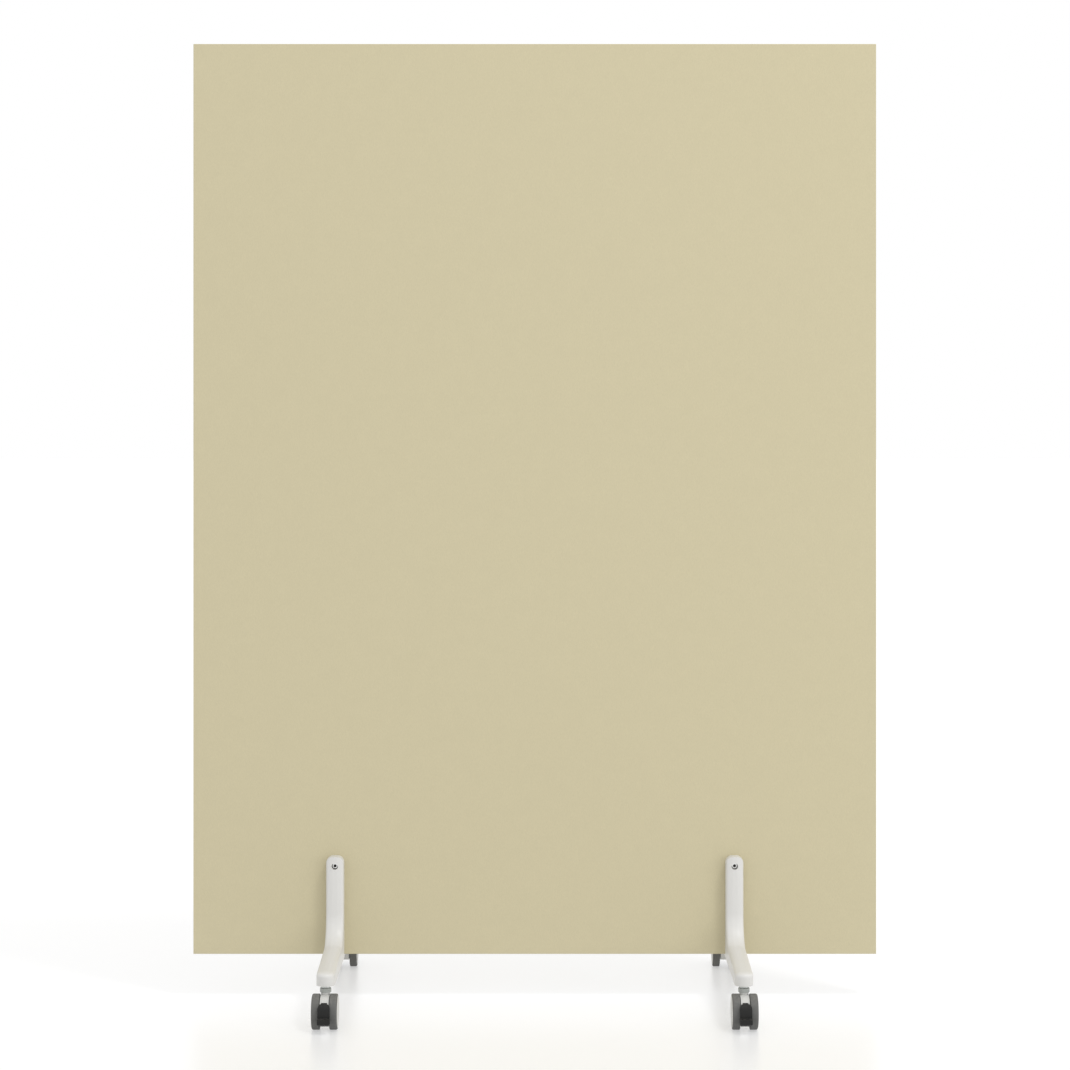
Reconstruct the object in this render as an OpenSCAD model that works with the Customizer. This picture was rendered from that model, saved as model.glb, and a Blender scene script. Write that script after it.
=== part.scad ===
// Rolling partition: a plain felt-faced board that stands in two cast saddle feet,
// each on two braked twin-wheel casters. The front faces -Y and +Z is up.
// The origin is on the floor, under the middle of the board. All sizes are in millimetres.

/* [Board] */
// Width of the board
board_w = 1220; // [900:10:1500]
// Height of the board
board_h = 1626; // [1200:2:2000]
// Thickness of the board, both felt faces included
board_t = 25; // [20:0.5:32]
// Thickness of each felt face
felt_t = 3; // [2:0.5:5]
// Thickness of the strip that edges the core
edging_t = 2; // [1:0.5:4]

/* [Feet] */
// Distance between the middles of the two feet
foot_pitch = 712; // [500:1:850]
// Width of a foot, seen from the front
foot_w = 31.5; // [28:0.5:36]
// Depth of an upright, from the board's face to the upright's front
upright_d = 21; // [18:0.5:34]
// Height of an upright's top above the underside of its foot
upright_top = 182; // [160:1:240]
// Radius of the corners of an upright's top, seen from the front
top_corner_r = 12; // [4:0.5:13]
// Radius along the outer edges of the uprights and arms
edge_r = 6; // [4:0.5:10]
// Radius of the gentle crown across the uprights and arms
crown_r = 34; // [26:1:80]
// Radius of the hollow sweep from an upright into its arm
sweep_r = 50; // [30:1:70]
// Height of an arm where the sweep ends
arm_h = 32; // [28:0.5:46]
// Fall of an arm's top towards its nose, in degrees
arm_fall = 3; // [0.5:0.1:4]
// Distance from the board's middle plane to a caster's stem
stem_reach = 240; // [200:1:300]
// Thickness of the web that the board stands on
web_t = 5.5; // [5:0.5:12]
// Wall left beside and above the pockets under an arm
arm_wall = 4; // [3:0.5:6]
// Thickness of the ribs between those pockets
rib_t = 3; // [2:0.5:5]
// Number of pockets under each arm
pocket_count = 4; // [2:1:6]

/* [Clamp bolts] */
// Distance from an upright's top down to its bolt
bolt_drop = 17; // [14:1:40]
// Diameter of the bolt's shank
bolt_d = 6; // [5:0.5:8]
// Diameter of the bolt's head
bolt_head_d = 10; // [9:0.5:12]
// Height of the bolt's head
bolt_head_h = 4; // [4:0.5:8]
// Width across the flats of the bolt's socket
socket_af = 5; // [3:0.5:5]
// Diameter of the flat recess that the head sits in
recess_d = 11.5; // [11:0.5:13]
// Depth of the recess that the head sits in
recess_depth = 1; // [0.5:0.5:8]
// Outer diameter of the spacer tube through the board
spacer_d = 12; // [11:0.5:16]
// Outer diameter of the sleeve nut's shank
nut_d = 8; // [8:0.5:9]
// Thickness of the sleeve nut's head
nut_head_h = 3.5; // [2:0.5:5]

/* [Casters] */
// Height of a caster, from the floor to its seat under the foot
caster_h = 71; // [70:0.5:80]
// Diameter of the wheels
wheel_d = 60; // [56:1:62]
// Width of each wheel
wheel_w = 13.5; // [11:0.5:16]
// Clear width between the two wheels of a caster
wheel_gap = 17; // [15:0.5:20]
// Distance from the stem to the axle
trail = 14; // [12:0.5:17]
// Thickness of the tyre, from its seat on the rim to the floor
tyre_t = 7; // [5:0.5:9]
// Radius of the tyre's shoulders
shoulder_r = 3; // [1:0.5:4]
// Width of the tyre's ring that shows round the hub cap
tyre_lip = 2.4; // [1.5:0.1:4]
// Thickness of the hub cap at its edge
cap_t = 1.3; // [1:0.1:2]
// Rise of the hub cap from its edge to its middle
cap_rise = 0.8; // [0.4:0.1:1.5]
// Diameter of the axle
axle_d = 6; // [5:0.5:8]
// Diameter of the threaded end of the stem
stem_thread_d = 10; // [8:0.5:12]
// Diameter of the stem's plain shaft, which the caster turns on
stem_shaft_d = 8; // [6:0.5:8]
// Diameter of the stem's flange
stem_flange_d = 15.5; // [13:0.5:18]
// Thickness of the stem's flange
stem_flange_t = 2.8; // [2:0.2:4]
// Diameter of the swivel collar
collar_d = 19.5; // [17:0.5:22]
// Height of the swivel collar
collar_h = 7.4; // [6:0.2:9.6]
// Clearance on each side of the housing between the wheels
housing_gap = 1; // [0.5:0.1:1.5]
// Wall of the threaded insert in a foot's nose
insert_wall = 3; // [2:0.5:4]
// Thickness of the insert's flange
insert_flange_t = 1.2; // [1:0.1:3]

/* [Brake pedals] */
// Width of the pedal's plate
pedal_w = 20.6; // [18:0.2:24]
// Thickness of the pedal's plate
pedal_t = 3.4; // [2.5:0.1:4]
// Width of the pedal's toe lip
toe_w = 21; // [20:0.2:28]
// Distance that the toe lip stands out from the plate
toe_out = 5; // [3:0.5:7]
// Travel of the pedal from released to pressed, in degrees
pedal_travel = 10; // [6:0.5:12]
// Clearance between the pressed pedal and the tyres
pedal_gap = 0.6; // [0.4:0.1:1.5]
// Thickness of the pedal's lever between the housing's walls
lever_t = 9; // [6:0.5:10]
// Diameter of the pedal's pin
pin_d = 3; // [2.5:0.5:4]

/* [Fits] */
// Radial clearance of a shaft that turns in its bore
run_fit = 0.05; // [0.02:0.01:0.1]
// Clearance between faces that move past each other
side_fit = 0.2; // [0.1:0.05:0.4]
// Radial clearance of a bolt in its hole
bolt_fit = 0.3; // [0.2:0.1:0.6]

/* [Hidden] */
$fn = 96;
eps = 1;

// Heights and depths that the pieces share
underside_z = caster_h + insert_flange_t;
board_z = underside_z + web_t;
half_t = board_t / 2;
upright_front = half_t + upright_d;
top_z = underside_z + upright_top;
bolt_z = top_z - bolt_drop;
bolt_seat = upright_front - recess_depth;

// The sweep's middle, and the place where it runs into the arm, as [out, up]
sweep_out = upright_front + sweep_r;
sweep_z = underside_z + arm_h + sweep_r * cos(arm_fall);
arm_start = [sweep_out - sweep_r * sin(arm_fall), underside_z + arm_h];
arm_l = (stem_reach - arm_start[0]) * cos(arm_fall) + arm_h * sin(arm_fall);
nose_h = arm_h - (stem_reach - arm_start[0]) * tan(arm_fall);

// The crown's arc is cut flat by crown_flat, so that the nose turned from it has a plane top, and
// the corners stand corner_lift proud of it, so that their arcs cross. The depth of the corners'
// middles under the crown's top, half the crown's width and the depth of the skin that the crown is
// drawn on are round numbers, so that the pieces of the skin meet.
function rounded(v) = round(1000 * v) / 1000;
crown_flat = 0.15;
corner_lift = 0.01;
crown_drop = rounded(
    crown_r - crown_flat - sqrt(pow(crown_r - edge_r, 2) - pow(foot_w / 2 - edge_r, 2))
);
crown_half = rounded((foot_w / 2 - edge_r) * crown_r / (crown_r - edge_r));
skin_d = ceil(crown_drop) + 8;

// The arm's skin stands this much proud where it laps back into the sweep, so that the two cross
blend_lift = 0.05;
blend_lap = 6;

// Threaded insert, with a roof left over it in the nose
insert_d = stem_thread_d + 2 * insert_wall;
insert_roof = 6;
insert_l = nose_h - insert_roof;

// Wheels and axle
wheel_r = wheel_d / 2;
wheel_in = wheel_gap / 2;
wheel_out = wheel_in + wheel_w;
rim_out = wheel_out - cap_t;
rim_r = wheel_r - tyre_t;
rim_band = 2.5;
rim_web = 3;
hub_r = axle_d / 2 + 4.5;
cap_r = wheel_r - tyre_lip;
axle_l = 2 * (rim_out - 1.2);

// Housing, collar and stem
housing_w = wheel_gap - 2 * housing_gap;
housing_r = wheel_r - 2.5;
housing_low = wheel_r - 13;
boss_w = wheel_gap - 2 * side_fit;
flange_low = caster_h - stem_flange_t;
collar_top = flange_low - side_fit;
collar_low = collar_top - collar_h;
shaft_low = wheel_r + 4;
bore_low = shaft_low - 1;

// Pedal, from the axle as [out, up], drawn as it stands when it is pressed
pedal_in = wheel_r + pedal_gap;
pedal_out = pedal_in + pedal_t;
pedal_top_a = 30;
pedal_low_a = -38;
pivot = [0.4 * wheel_r, 0.47 * wheel_r];
pivot_r = pin_d / 2 + 2.7;
slot_gap = 0.7;

// Colours
felt_c = [0.81, 0.77, 0.65];
core_c = [0.72, 0.62, 0.47];
edging_c = [0.78, 0.74, 0.62];
coat_c = [0.93, 0.93, 0.92];
steel_c = [0.70, 0.71, 0.72];
bolt_c = [0.80, 0.80, 0.79];
nylon_c = [0.84, 0.84, 0.83];
collar_c = [0.60, 0.61, 0.60];
rim_c = [0.45, 0.45, 0.44];
tyre_c = [0.42, 0.42, 0.41];
pedal_c = [0.17, 0.17, 0.17];

// Each caster: its name, then its side along X and along Y
CASTERS = [
    ["front_left", -1, -1],
    ["front_right", 1, -1],
    ["rear_left", -1, 1],
    ["rear_right", 1, 1],
];
WHEELS = [["inner", -1], ["outer", 1]];

// ---- Shared shapes ----

// A strip with a flat back on the X axis and its two outer corners rounded
module softened(w, d, r) {
    translate([-w / 2, 0]) square([w, d - r]);
    translate([-w / 2 + r, 0]) square([w - 2 * r, d]);
    for (s = [-1, 1]) translate([s * (w / 2 - r), d - r]) circle(r);
}

// Section of a foot's skin, flat on the X axis, with a crown that runs into rounded corners
module crowned(d) {
    corner = d - crown_drop + corner_lift;
    translate([-foot_w / 2, 0]) square([foot_w, corner]);
    for (s = [-1, 1]) translate([s * (foot_w / 2 - edge_r), corner]) circle(edge_r);
    intersection() {
        translate([0, d + crown_flat - crown_r]) circle(crown_r);
        translate([-crown_half, 0]) square([2 * crown_half, d]);
    }
}

// Half of that section, to be turned about its middle
module half_crowned(d) {
    intersection() {
        crowned(d);
        translate([0, -eps]) square([foot_w, d + 2 * eps]);
    }
}

// Extrudes an outline drawn as [Y, Z] across the width, centred on X
module across(w) {
    translate([-w / 2, 0, 0]) rotate([90, 0, 90]) linear_extrude(w) children();
}

// Turns a section drawn as [radius, X] about an axis along X
module turned() {
    rotate([0, 90, 0]) rotate_extrude() children();
}

// ---- Board ----

module bolt_holes() {
    for (s = [-1, 1])
        translate([s * foot_pitch / 2, 0, bolt_z])
            rotate([90, 0, 0]) cylinder(d = spacer_d, h = board_t + 2 * eps, center = true);
}

module board_core() {
    color(core_c) difference() {
        translate([-board_w / 2 + edging_t, -half_t + felt_t, board_z + edging_t])
            cube([board_w - 2 * edging_t, board_t - 2 * felt_t, board_h - 2 * edging_t]);
        bolt_holes();
    }
}

module board_edging() {
    color(edging_c) difference() {
        translate([-board_w / 2, -half_t + felt_t, board_z])
            cube([board_w, board_t - 2 * felt_t, board_h]);
        translate([-board_w / 2 + edging_t, -half_t, board_z + edging_t])
            cube([board_w - 2 * edging_t, board_t, board_h - 2 * edging_t]);
    }
}

module felt(y) {
    color(felt_c) difference() {
        translate([-board_w / 2, y, board_z]) cube([board_w, felt_t, board_h]);
        bolt_holes();
    }
}

// ---- Feet ----

// Places what is drawn in an arm's own frame: along its fall, with its top at height 0
module on_arm() {
    translate([0, arm_start[0], arm_start[1] + blend_lift]) rotate([-arm_fall, 0, 0]) children();
}

// The crowned skin of one side: upright, sweep, arm and nose
module foot_skin() {
    intersection() {
        translate([0, half_t, sweep_z]) linear_extrude(top_z - sweep_z + eps) crowned(upright_d);
        translate([0, upright_front + eps, sweep_z]) rotate([90, 0, 0])
            linear_extrude(upright_d + 2 * eps) softened(foot_w, top_z - sweep_z, top_corner_r);
    }
    translate([0, sweep_out, sweep_z])
        rotate([0, 90, 0]) rotate([0, 0, -90])
            rotate_extrude(angle = 90 - arm_fall)
                translate([sweep_r + skin_d, 0]) rotate([0, 0, 90]) crowned(skin_d);
    on_arm() {
        translate([0, arm_l, -skin_d]) rotate([90, 0, 0])
            linear_extrude(arm_l + blend_lap) crowned(skin_d);
        translate([0, arm_l, -arm_h - edge_r])
            rotate_extrude() half_crowned(arm_h + edge_r);
    }
}

// Side outline of the body under the skin, from the board's middle plane to the nose
function arm_point(along, down) = [
    arm_start[0] + along * cos(arm_fall) - down * sin(arm_fall),
    arm_start[1] - along * sin(arm_fall) - down * cos(arm_fall),
];
bed_r = sweep_r + crown_drop + 4;
bed = concat(
    [[0, underside_z], [0, board_z], [half_t, board_z], [half_t, sweep_z]],
    [for (i = [0:6]) let (a = 180 + i * (90 - arm_fall) / 6)
        [sweep_out + bed_r * cos(a), sweep_z + bed_r * sin(a)]],
    [arm_point(arm_l, bed_r - sweep_r), [stem_reach, underside_z]]
);

// Pockets under an arm, open below, with cross ribs left between them
module pockets() {
    start = half_t + 12;
    stop = stem_reach - insert_d / 2 - arm_wall;
    pitch = (stop - start + rib_t) / pocket_count;
    roof = arm_wall + 3;
    intersection() {
        across(foot_w - 2 * arm_wall) polygon([
            [start, underside_z - eps],
            [start, underside_z + arm_h / 2],
            arm_point(0, roof),
            arm_point(arm_l, roof),
            [stem_reach, underside_z - eps],
        ]);
        for (i = [0:pocket_count - 1])
            translate([-foot_w / 2, start + i * pitch, underside_z - eps])
                cube([foot_w, pitch - rib_t, arm_h + 2 * eps]);
    }
}

// One side of the foot, with a hole of the given width behind its recess
module foot_side(hole_d) {
    difference() {
        union() {
            foot_skin();
            across(foot_w) polygon(bed);
        }
        translate([-foot_w, 0, 0]) cube([2 * foot_w, stem_reach + foot_w, underside_z]);
        pockets();
        translate([0, stem_reach, 0]) cylinder(d = insert_d, h = underside_z + insert_l);
        translate([0, 0, bolt_z]) rotate([-90, 0, 0]) {
            cylinder(d = hole_d, h = upright_front + eps);
            translate([0, 0, bolt_seat]) cylinder(d = recess_d, h = recess_depth + eps);
        }
    }
}

module foot(s) {
    $fn = 64;
    color(coat_c) translate([s * foot_pitch / 2, 0, 0]) {
        foot_side(nut_d + 2 * bolt_fit);
        mirror([0, 1, 0]) foot_side(bolt_d + 2 * bolt_fit);
    }
}

// ---- Clamp bolts, spacers and nuts ----

module at_bolts() {
    for (s = [-1, 1]) translate([s * foot_pitch / 2, 0, bolt_z]) rotate([-90, 0, 0]) children();
}

module bolt_spacers() {
    color(steel_c) at_bolts() difference() {
        cylinder(d = spacer_d, h = board_t, center = true);
        cylinder(d = bolt_d + 2 * bolt_fit, h = board_t + 2 * eps, center = true);
    }
}

module clamp_bolts() {
    color(bolt_c) at_bolts() difference() {
        union() {
            translate([0, 0, -bolt_seat]) cylinder(d = bolt_d, h = 2 * bolt_seat);
            translate([0, 0, -bolt_seat]) rotate([180, 0, 0]) rotate_extrude() polygon([
                [0, 0],
                [bolt_head_d / 2, 0],
                [bolt_head_d / 2, 0.3 * bolt_head_h],
                [0.45 * bolt_head_d, 0.65 * bolt_head_h],
                [0.37 * bolt_head_d, bolt_head_h],
                [0, bolt_head_h],
            ]);
        }
        translate([0, 0, -bolt_seat - bolt_head_h - eps])
            cylinder(d = socket_af / cos(30), h = 0.7 * bolt_head_h + eps, $fn = 6);
    }
}

module sleeve_nuts() {
    shank = bolt_seat - half_t - 2;
    color(bolt_c) at_bolts() difference() {
        union() {
            translate([0, 0, bolt_seat - shank]) cylinder(d = nut_d, h = shank);
            translate([0, 0, bolt_seat]) cylinder(d = bolt_head_d, h = nut_head_h);
        }
        translate([0, 0, bolt_seat - shank - eps]) cylinder(d = bolt_d, h = shank + eps);
        translate([0, 0, bolt_seat + nut_head_h / 2])
            cylinder(d = socket_af / cos(30), h = nut_head_h, $fn = 6);
    }
}

// ---- Stems and their inserts ----

module at_stems() {
    for (c = CASTERS) translate([c[1] * foot_pitch / 2, c[2] * stem_reach, 0]) children();
}

module caster_inserts() {
    bore = stem_thread_d / 2;
    color(steel_c) at_stems() rotate_extrude() polygon([
        [bore, caster_h],
        [insert_d / 2 + 3, caster_h],
        [insert_d / 2 + 4, caster_h + insert_flange_t / 2],
        [insert_d / 2 + 4, underside_z],
        [insert_d / 2, underside_z],
        [insert_d / 2, underside_z + insert_l],
        [bore, underside_z + insert_l],
    ]);
}

module caster_stems() {
    thread = stem_thread_d / 2;
    shaft = stem_shaft_d / 2;
    top = caster_h + insert_l - 3;
    color(steel_c) at_stems() rotate_extrude() polygon([
        [0, shaft_low],
        [shaft - 1, shaft_low],
        [shaft, shaft_low + 1],
        [shaft, shaft_low + 3],
        [shaft - 0.7, shaft_low + 3.7],
        [shaft - 0.7, shaft_low + 5.3],
        [shaft, shaft_low + 6],
        [shaft, flange_low],
        [stem_flange_d / 2 - 0.5, flange_low],
        [stem_flange_d / 2, flange_low + 0.5],
        [stem_flange_d / 2, caster_h],
        [thread, caster_h],
        [thread, top - 1],
        [thread - 1, top],
        [0, top],
    ]);
}

// ---- Casters, drawn with the stem on the Z axis and the pedal towards +Y ----

module at_caster(c) {
    translate([c[1] * foot_pitch / 2, c[2] * stem_reach, 0])
        rotate([0, 0, c[2] > 0 ? 0 : 180]) children();
}

module at_axle() {
    translate([0, trail, wheel_r]) children();
}

module cross_bore(d, l = 4 * wheel_w + wheel_gap) {
    rotate([0, 90, 0]) cylinder(d = d, h = l, center = true);
}

// Slot between the housing's walls that the pedal's lever moves in
module lever_slot() {
    across(lever_t + 4 * side_fit) {
        translate(pivot) circle(pivot_r + slot_gap);
        polygon([
            [pivot[0], pivot[1] + pivot_r + slot_gap],
            [wheel_d, pivot[1] + pivot_r + slot_gap],
            [wheel_d, -1],
            [wheel_r - 1, 0],
            [pivot[0], pivot[1] - pivot_r - slot_gap],
        ]);
    }
}

// Room for the wheels, cut from what reaches down between them
module wheel_room() {
    at_axle() for (s = [0, 180]) rotate([0, s, 0])
        turned() translate([0, housing_w / 2]) square([wheel_r + 2 * side_fit, wheel_w + wheel_gap]);
}

module housing() {
    color(nylon_c) difference() {
        union() {
            at_axle() {
                across(housing_w) difference() {
                    circle(housing_r);
                    translate([-wheel_d, housing_low - wheel_r - wheel_d]) square([2 * wheel_d, wheel_d]);
                }
                cross_bore(2 * hub_r, boss_w);
            }
            intersection() {
                translate([0, 0, wheel_r + 8]) cylinder(d = collar_d, h = collar_low - wheel_r - 8);
                translate([-housing_w / 2, -collar_d, 0]) cube([housing_w, 2 * collar_d, caster_h]);
            }
        }
        at_axle() {
            lever_slot();
            cross_bore(axle_d);
            translate([0, pivot[0], pivot[1]]) cross_bore(pin_d);
        }
        translate([0, 0, bore_low]) cylinder(d = stem_shaft_d + 2 * run_fit, h = caster_h);
        translate([0, 0, collar_low]) cylinder(d = collar_d + 2 * side_fit, h = caster_h);
    }
}

module swivel_collar() {
    bore = stem_shaft_d / 2 + run_fit;
    color(collar_c) difference() {
        rotate_extrude() polygon([
            [bore, collar_low],
            [collar_d / 2, collar_low],
            [collar_d / 2, collar_top - 1.2],
            [collar_d / 2 - 1.2, collar_top],
            [bore, collar_top],
        ]);
        wheel_room();
    }
}

module axle() {
    color(steel_c) at_axle() turned() polygon([
        [0, -axle_l / 2],
        [axle_d / 2 - 0.5, -axle_l / 2],
        [axle_d / 2, -axle_l / 2 + 0.5],
        [axle_d / 2, axle_l / 2 - 0.5],
        [axle_d / 2 - 0.5, axle_l / 2],
        [0, axle_l / 2],
    ]);
}

module pedal_pin() {
    color(steel_c) at_axle() translate([0, pivot[0], pivot[1]]) cross_bore(pin_d, housing_w);
}

// Side outline of the pedal's plate and toe lip, from the axle as [out, up]
module pedal_side() {
    reach = 2 * wheel_d;
    intersection() {
        difference() {
            circle(pedal_out);
            circle(pedal_in);
        }
        polygon([
            [0, 0],
            [reach * cos(pedal_low_a), reach * sin(pedal_low_a)],
            [reach, 0],
            [reach * cos(pedal_top_a), reach * sin(pedal_top_a)],
        ]);
    }
    polygon([
        [pedal_in + 1.4, -0.22 * wheel_r],
        [pedal_out + toe_out, -0.33 * wheel_r],
        [pedal_out + toe_out, -0.6 * wheel_r],
        [pedal_out * cos(pedal_low_a) + 1.5, pedal_out * sin(pedal_low_a) + 0.4],
        [pedal_out * cos(pedal_low_a) - 1, pedal_out * sin(pedal_low_a) + 1],
        [(pedal_in + 1) * cos(-20), (pedal_in + 1) * sin(-20)],
    ]);
}

// Front outline of the pedal: an arched top, and a wide toe that narrows to its lower edge
module pedal_front() {
    arch_r = 9;
    top = pedal_out * sin(pedal_top_a) + 0.2;
    waist = -0.26 * wheel_r;
    translate([-pedal_w / 2, waist - eps]) square([pedal_w, top - arch_r - waist + eps]);
    translate([-pedal_w / 2 + arch_r, 0]) square([pedal_w - 2 * arch_r, top]);
    for (s = [-1, 1]) translate([s * (pedal_w / 2 - arch_r), top - arch_r]) circle(arch_r);
    polygon([
        [-pedal_w / 2, waist],
        [-toe_w / 2, waist - 1.5],
        [-toe_w / 2, -0.55 * wheel_r],
        [-toe_w / 2 + 2, -0.72 * wheel_r],
        [toe_w / 2 - 2, -0.72 * wheel_r],
        [toe_w / 2, -0.55 * wheel_r],
        [toe_w / 2, waist - 1.5],
        [pedal_w / 2, waist],
    ]);
}

module pedal() {
    color(pedal_c) at_axle() translate([0, pivot[0], pivot[1]]) rotate([pedal_travel, 0, 0])
        translate([0, -pivot[0], -pivot[1]]) difference() {
            union() {
                intersection() {
                    across(toe_w + 2 * eps) pedal_side();
                    translate([0, 2 * wheel_d, 0]) rotate([90, 0, 0])
                        linear_extrude(2 * wheel_d) pedal_front();
                }
                across(lever_t) {
                    translate(pivot) circle(pivot_r);
                    polygon([
                        [pivot[0], pivot[1] + pivot_r],
                        [(pedal_in + 1) * cos(pedal_top_a - 5), (pedal_in + 1) * sin(pedal_top_a - 5)],
                        [pedal_in + 1, 0.28 * wheel_r],
                        [pedal_in + 1, 0.06 * wheel_r],
                        [pivot[0], pivot[1] - pivot_r],
                    ]);
                }
            }
            translate([0, pivot[0], pivot[1]]) cross_bore(pin_d + 2 * run_fit);
        }
}

// Sections of one wheel, as [radius, distance from the caster's middle]
module rim() {
    color(rim_c) turned() polygon([
        [axle_d / 2 + run_fit, wheel_in],
        [hub_r, wheel_in],
        [hub_r, wheel_in + wheel_w / 2 - rim_web],
        [rim_r - rim_band, wheel_in + wheel_w / 2 - rim_web],
        [rim_r - rim_band, wheel_in + 0.5],
        [rim_r, wheel_in + 0.5],
        [rim_r, rim_out],
        [rim_r - rim_band, rim_out],
        [rim_r - rim_band, wheel_in + wheel_w / 2],
        [hub_r, wheel_in + wheel_w / 2],
        [hub_r, rim_out],
        [axle_d / 2 + run_fit, rim_out],
    ]);
}

module tyre() {
    color(tyre_c) turned() difference() {
        translate([rim_r, wheel_in + wheel_w / 2])
            rotate([0, 0, -90]) softened(wheel_w, tyre_t, shoulder_r);
        translate([0, rim_out]) square([cap_r, cap_t + eps]);
    }
}

module cap() {
    edge = cap_r - side_fit;
    color(nylon_c) turned() polygon([
        [0, rim_out],
        [edge, rim_out],
        [edge, rim_out + cap_t - 0.4],
        [edge - 0.8, rim_out + cap_t],
        [0.45 * edge, rim_out + cap_t + 0.6 * cap_rise],
        [0.4 * edge, rim_out + cap_t + cap_rise],
        [0, rim_out + cap_t + cap_rise],
    ]);
}

// A wheel's pieces, on the side of the caster towards the board's middle or away from it
module on_wheel(c, w) {
    at_caster(c) at_axle() mirror([c[1] * c[2] * w[1] > 0 ? 0 : 1, 0, 0]) children();
}

// ---- The object ----

board_core();
board_edging();
felt(-half_t);  // front_felt
felt(half_t - felt_t);  // rear_felt
foot(-1);  // left_foot
foot(1);  // right_foot
bolt_spacers();
clamp_bolts();
sleeve_nuts();
caster_inserts();
caster_stems();
for (c = CASTERS) {
    at_caster(c) housing();
    at_caster(c) swivel_collar();
    at_caster(c) axle();
    at_caster(c) pedal();
    at_caster(c) pedal_pin();
    for (w = WHEELS) {
        on_wheel(c, w) rim();
        on_wheel(c, w) tyre();
        on_wheel(c, w) cap();
    }
}
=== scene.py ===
import math
import bmesh
import bpy
from mathutils import Matrix, Vector


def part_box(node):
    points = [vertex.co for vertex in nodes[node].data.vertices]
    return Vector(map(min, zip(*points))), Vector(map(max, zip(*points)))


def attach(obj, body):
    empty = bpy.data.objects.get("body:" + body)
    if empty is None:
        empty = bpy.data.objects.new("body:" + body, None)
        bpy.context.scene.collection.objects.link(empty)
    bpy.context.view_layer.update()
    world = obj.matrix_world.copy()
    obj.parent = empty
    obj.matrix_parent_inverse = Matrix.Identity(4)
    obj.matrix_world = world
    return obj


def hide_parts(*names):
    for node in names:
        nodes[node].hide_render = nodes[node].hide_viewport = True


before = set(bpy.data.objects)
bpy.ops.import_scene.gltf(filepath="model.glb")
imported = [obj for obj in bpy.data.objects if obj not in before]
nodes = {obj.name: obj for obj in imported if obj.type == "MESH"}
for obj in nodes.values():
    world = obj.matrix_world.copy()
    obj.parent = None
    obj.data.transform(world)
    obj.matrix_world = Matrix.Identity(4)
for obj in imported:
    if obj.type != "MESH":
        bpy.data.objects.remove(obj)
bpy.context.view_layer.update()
mm = 0.001
near = 0.01 * mm        # two places this close count as one
facing = 0.9            # the least share of a face's normal that points the way asked for
alongX = (0.0, math.radians(90.0), 0.0)     # turns a cylinder's axis from Z to X
alongY = (math.radians(90.0), 0.0, 0.0)     # and from Z to Y

casterNames = ["front_left", "front_right", "rear_left", "rear_right"]
wheelSides = ["inner", "outer"]


# Camera and light: the photograph's view, level and straight at the board

view = {
    "distance": 4.824,      # from the lens to the board's front face, metres
    "height": 1.0775,       # lens above the floor
    "lens": 90.84,
    "sensor": 36.0,
    "shiftUp": -0.1314,     # the frame reaches lower than the horizon
    "shiftSide": 0.0002,
    "farthest": 200.0,
}

lamps = {
    "keyLight": {
        "place": (2.60, -2.33, 6.40), "aim": (0.0, 0.0, 0.6), "size": 1.25, "power": 130.0,
    },
    "sideLight": {
        "place": (5.0, -3.5, 1.2), "aim": (0.0, 0.0, 0.4), "size": 3.0, "power": 45.0,
    },
}

room = {
    "ambient": 1.0,
    "floorSize": 80.0,
    "floorColour": (0.40, 0.40, 0.40, 1.0),
    "floorRoughness": 0.30,
    "floorSpecular": 0.5,
    "floorGlow": 0.448,          # the sweep is lit from below, so its shadows stay pale
}


def deselectAll():
    if bpy.context.object and bpy.context.object.mode != "OBJECT":
        bpy.ops.object.mode_set(mode="OBJECT")
    bpy.ops.object.select_all(action="DESELECT")


def makeCamera():
    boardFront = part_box("front_felt")[0].y
    data = bpy.data.cameras.new("photoView")
    data.lens = view["lens"]
    data.sensor_width = view["sensor"]
    data.shift_x = view["shiftSide"]
    data.shift_y = view["shiftUp"]
    data.clip_end = view["farthest"]
    camera = bpy.data.objects.new("photoView", data)
    camera.location = (0.0, boardFront - view["distance"], view["height"])
    camera.rotation_euler = (math.radians(90.0), 0.0, 0.0)
    bpy.context.scene.collection.objects.link(camera)
    bpy.context.scene.camera = camera


def makeLamp(name, how):
    data = bpy.data.lights.new(name, "AREA")
    data.shape = "DISK"
    data.size = how["size"]
    data.energy = how["power"]
    lamp = bpy.data.objects.new(name, data)
    lamp.location = how["place"]
    towards = Vector(how["aim"]) - Vector(how["place"])
    lamp.rotation_euler = towards.to_track_quat("-Z", "Y").to_euler()
    bpy.context.scene.collection.objects.link(lamp)


def makeAmbient():
    world = bpy.data.worlds.new("paleRoom")
    world.use_nodes = True
    background = world.node_tree.nodes["Background"]
    background.inputs["Color"].default_value = (1.0, 1.0, 1.0, 1.0)
    background.inputs["Strength"].default_value = room["ambient"]
    bpy.context.scene.world = world


def makeFloor():
    deselectAll()
    bpy.ops.mesh.primitive_plane_add(size=room["floorSize"], location=(0.0, 0.0, 0.0))
    floor = bpy.context.object
    floor.name = "paleFloor"
    mat = bpy.data.materials.new("paleFloor")
    mat.use_nodes = True
    shader = mat.node_tree.nodes["Principled BSDF"]
    shader.inputs["Base Color"].default_value = room["floorColour"]
    shader.inputs["Roughness"].default_value = room["floorRoughness"]
    shader.inputs["Specular IOR Level"].default_value = room["floorSpecular"]
    shader.inputs["Emission Color"].default_value = (1.0, 1.0, 1.0, 1.0)
    shader.inputs["Emission Strength"].default_value = room["floorGlow"]
    floor.data.materials.append(mat)


makeCamera()
for lampName, lampHow in lamps.items():
    makeLamp(lampName, lampHow)
makeAmbient()
makeFloor()
bpy.context.scene.view_settings.view_transform = "Standard"
print("camera, light and floor are in place")


# Small tools for modelling

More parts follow.
